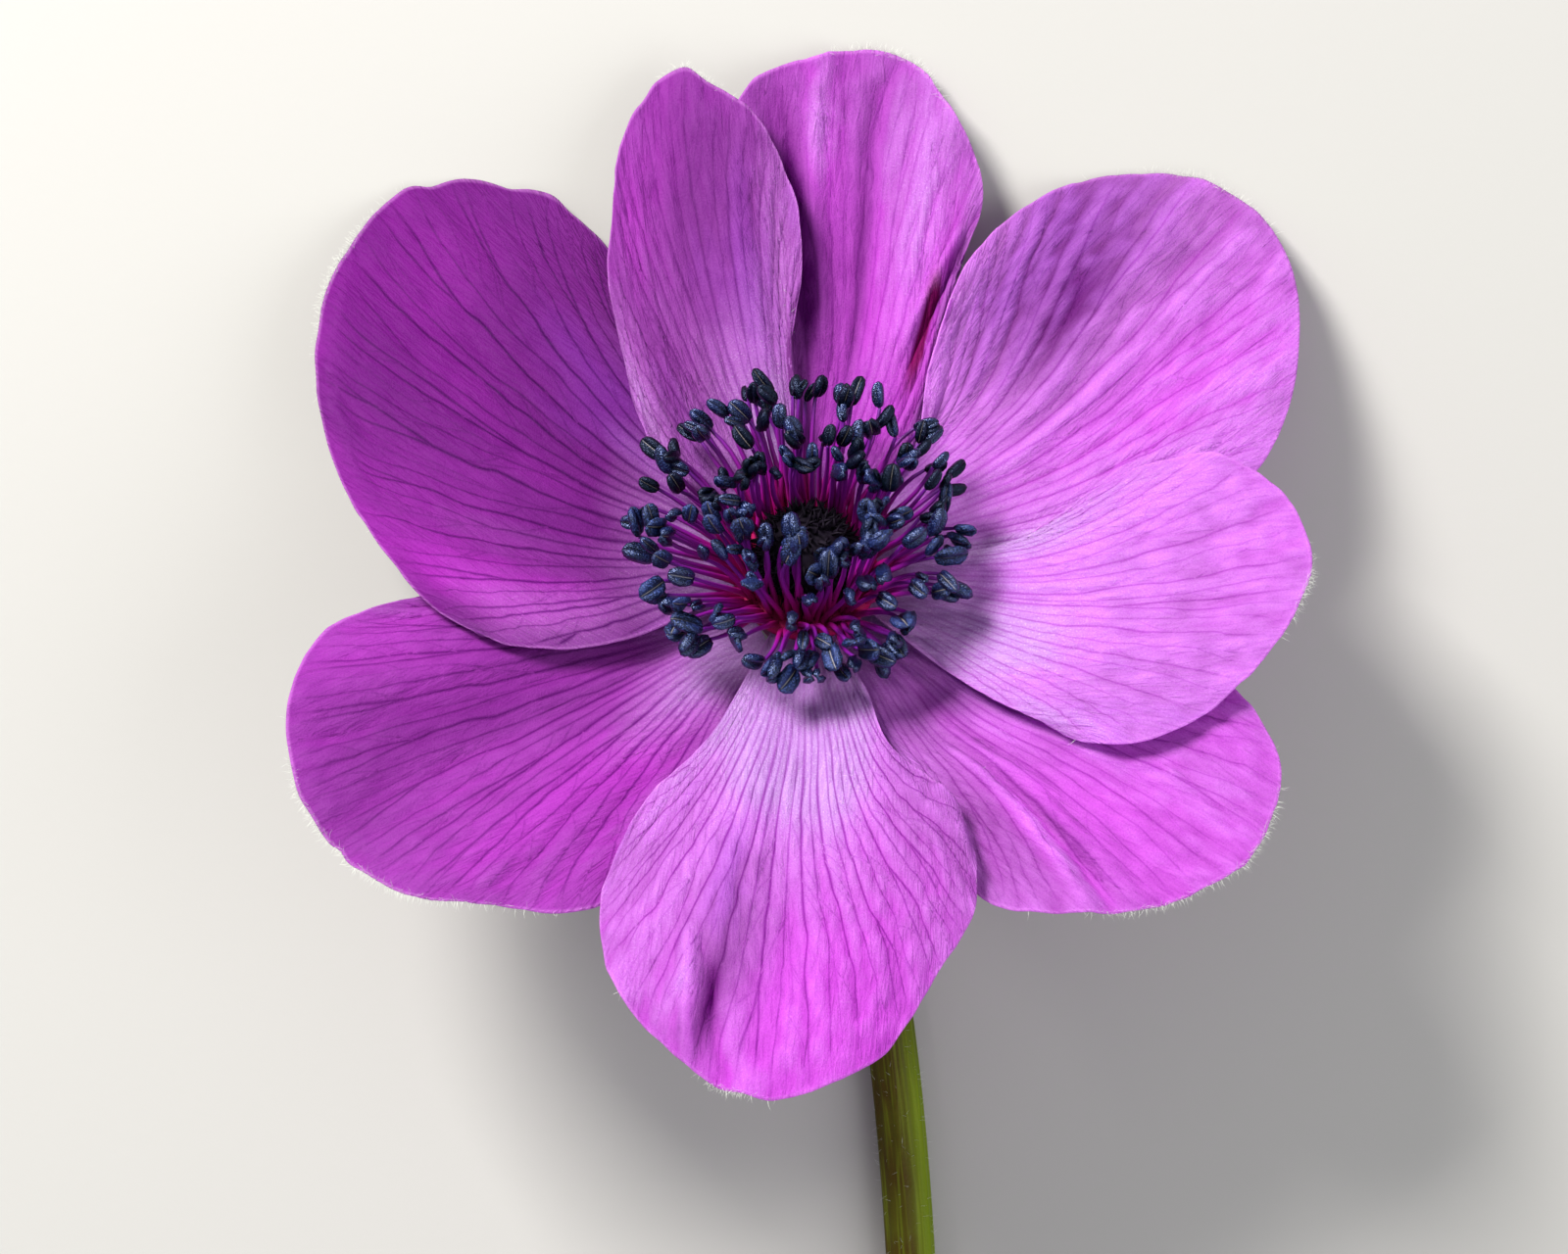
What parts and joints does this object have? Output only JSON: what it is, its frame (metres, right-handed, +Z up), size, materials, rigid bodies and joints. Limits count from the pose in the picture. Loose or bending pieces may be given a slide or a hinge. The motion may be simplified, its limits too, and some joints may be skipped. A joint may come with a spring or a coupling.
{
  "type": "cut anemone flower",
  "caption": "Cut poppy anemone lying on its back, with broad overlapping petals, a dark domed pistil, a ring of stamens and a bare bent stem.",
  "frame": {"origin": "middle of the footprint, on the surface that the flower lies on", "axes": "+Z up from the surface; +Y along the flower's length, from the stem's cut end to the bloom"},
  "size_m": [0.074, 0.1298, 0.0382],
  "materials": {
    "petal": "soft satin plant tissue, magenta-violet with darker veins and a pale base",
    "stamen": "blue-black pollen sacs on magenta-purple filaments",
    "pistil": "near-black purple, felted",
    "stem": "olive green, finely hairy"
  },
  "bodies": {
    "root": {"petal_right": "petal", "petal_right_upper": "petal", "petal_top_wide": "petal", "petal_top_narrow": "petal", "petal_left_upper": "petal", "petal_left_lower": "petal", "petal_bottom": "petal", "petal_right_lower": "petal", "stamens": "stamen", "pistil": "pistil", "stem": "stem"}
  },
  "joints": []
}
